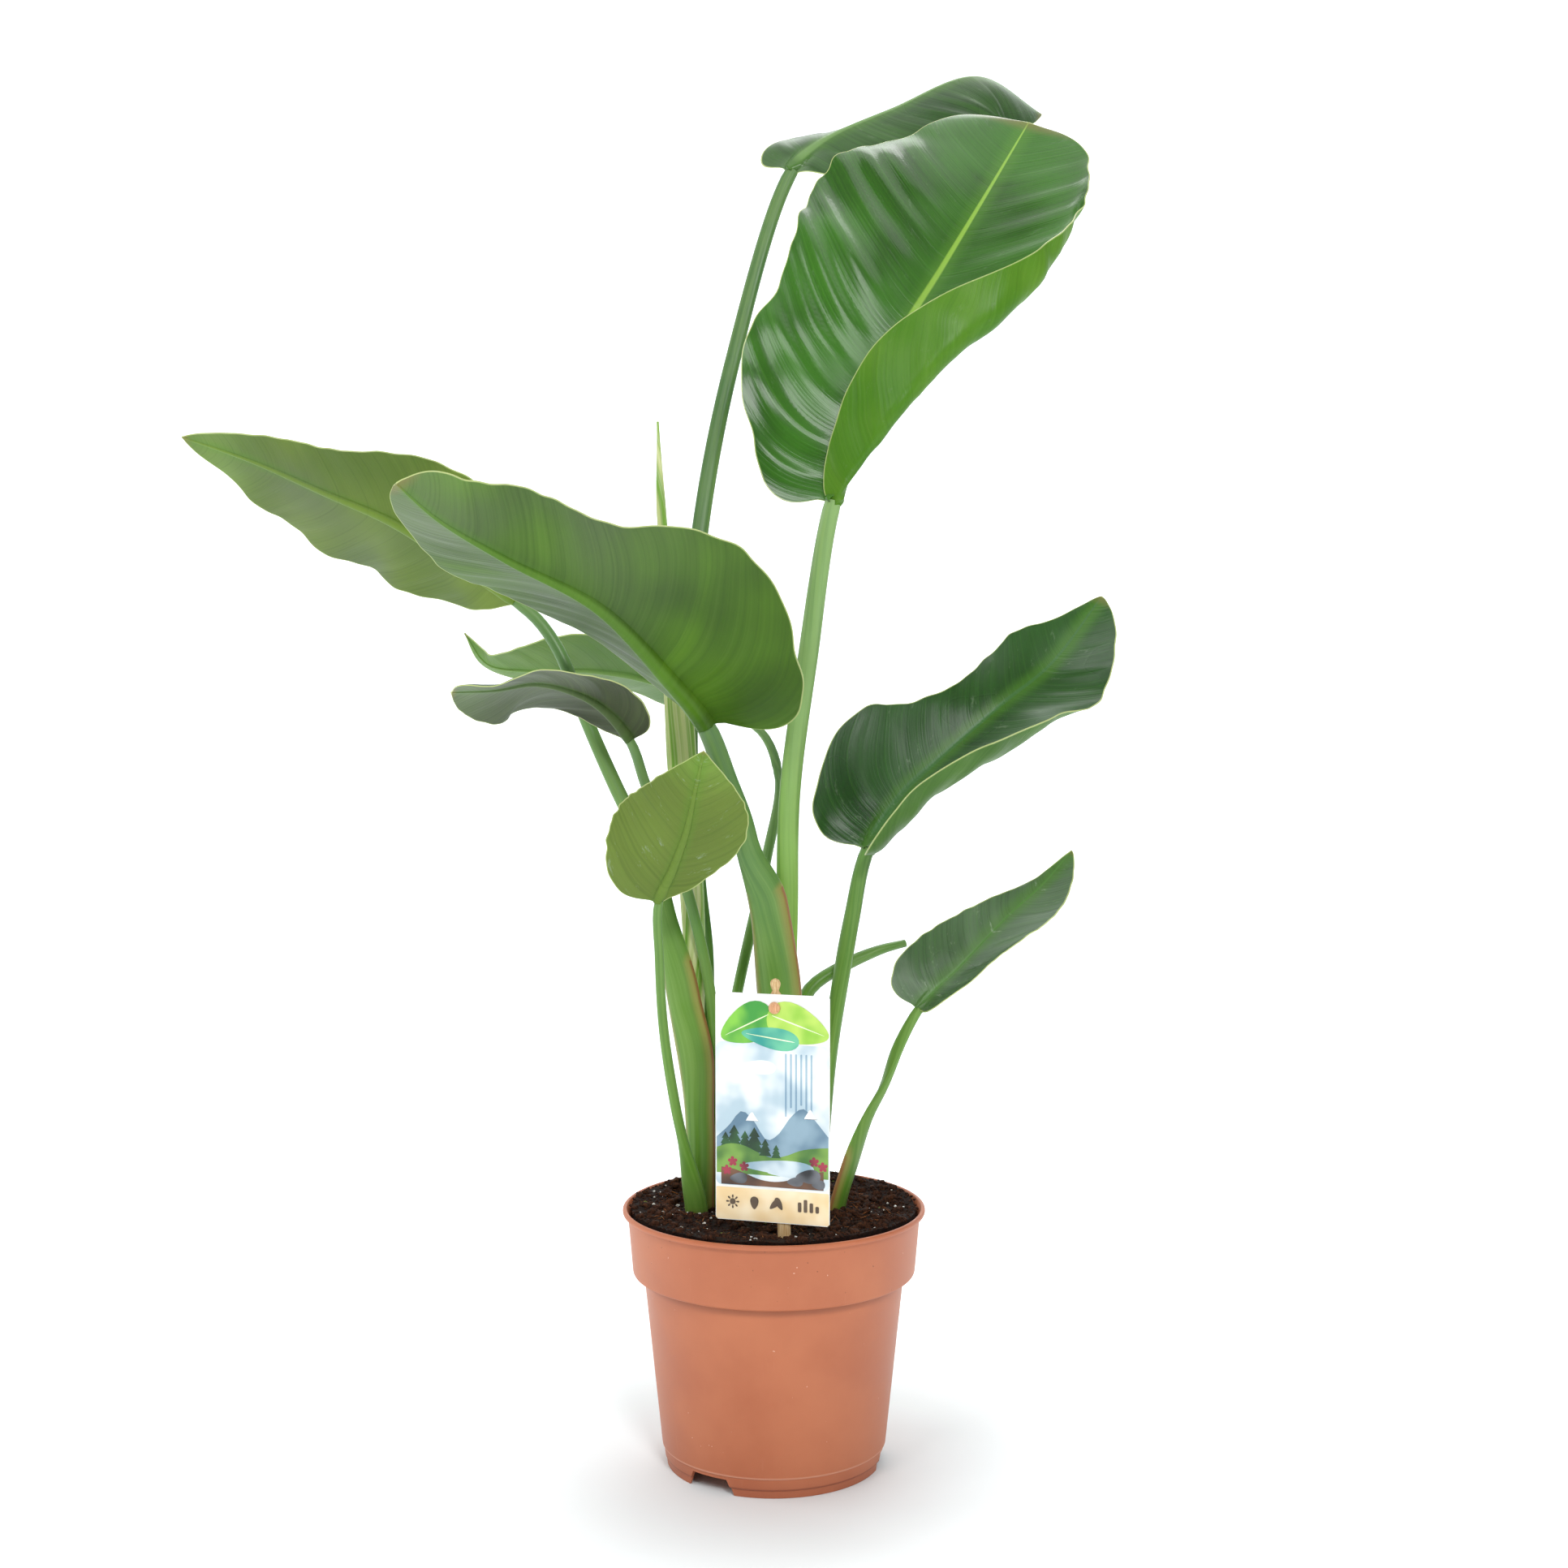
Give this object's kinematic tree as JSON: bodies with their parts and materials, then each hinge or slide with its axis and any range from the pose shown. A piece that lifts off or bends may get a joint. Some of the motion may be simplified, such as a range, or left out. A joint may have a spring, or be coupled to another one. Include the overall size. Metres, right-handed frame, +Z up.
{
  "type": "potted plant",
  "caption": "Bird of paradise house plant: tall stalks with broad paddle leaves, standing in a round stepped nursery pot with soil and a plant label on a stake.",
  "frame": {"origin": "middle of the pot's foot, on the ground", "axes": "+Z up; the picture looks along +Y, with +X to its right"},
  "size_m": [0.6648, 0.4309, 0.9964],
  "materials": {
    "pot_plastic": "matt terracotta plastic with faint scuffs",
    "potting_soil": "dark crumbly peat with fibres and white grains",
    "root": "fleshy cream root",
    "leaf_blade": "glossy waxy green, pleated along the veins",
    "leaf_stalk": "smooth satin grey-green",
    "young_leaf": "smooth pale green, striped lengthways",
    "bare_wood": "sanded bare wood",
    "printed_card": null,
    "peg_wood": "turned bare wood"
  },
  "bodies": {
    "root": {"pot": "pot_plastic", "soil": "potting_soil", "rootstock_left": "root", "rootstock_middle": "root", "rootstock_right": "root", "leaf_1_stalk": "leaf_stalk", "leaf_1_blade": "leaf_blade", "leaf_2_stalk": "leaf_stalk", "leaf_2_blade": "leaf_blade", "leaf_3_stalk": "leaf_stalk", "leaf_3_blade": "leaf_blade", "leaf_4_stalk": "leaf_stalk", "leaf_4_blade": "leaf_blade", "leaf_5_stalk": "leaf_stalk", "leaf_5_blade": "leaf_blade", "leaf_6_stalk": "leaf_stalk", "leaf_6_blade": "leaf_blade", "leaf_7_stalk": "leaf_stalk", "leaf_7_blade": "leaf_blade", "leaf_8_stalk": "leaf_stalk", "leaf_8_blade": "leaf_blade", "leaf_9_stalk": "leaf_stalk", "leaf_9_blade": "leaf_blade", "spear": "young_leaf", "cut_stalk": "leaf_stalk", "label_stake": "bare_wood", "label_card": "printed_card", "label_peg": "peg_wood"}
  },
  "joints": []
}
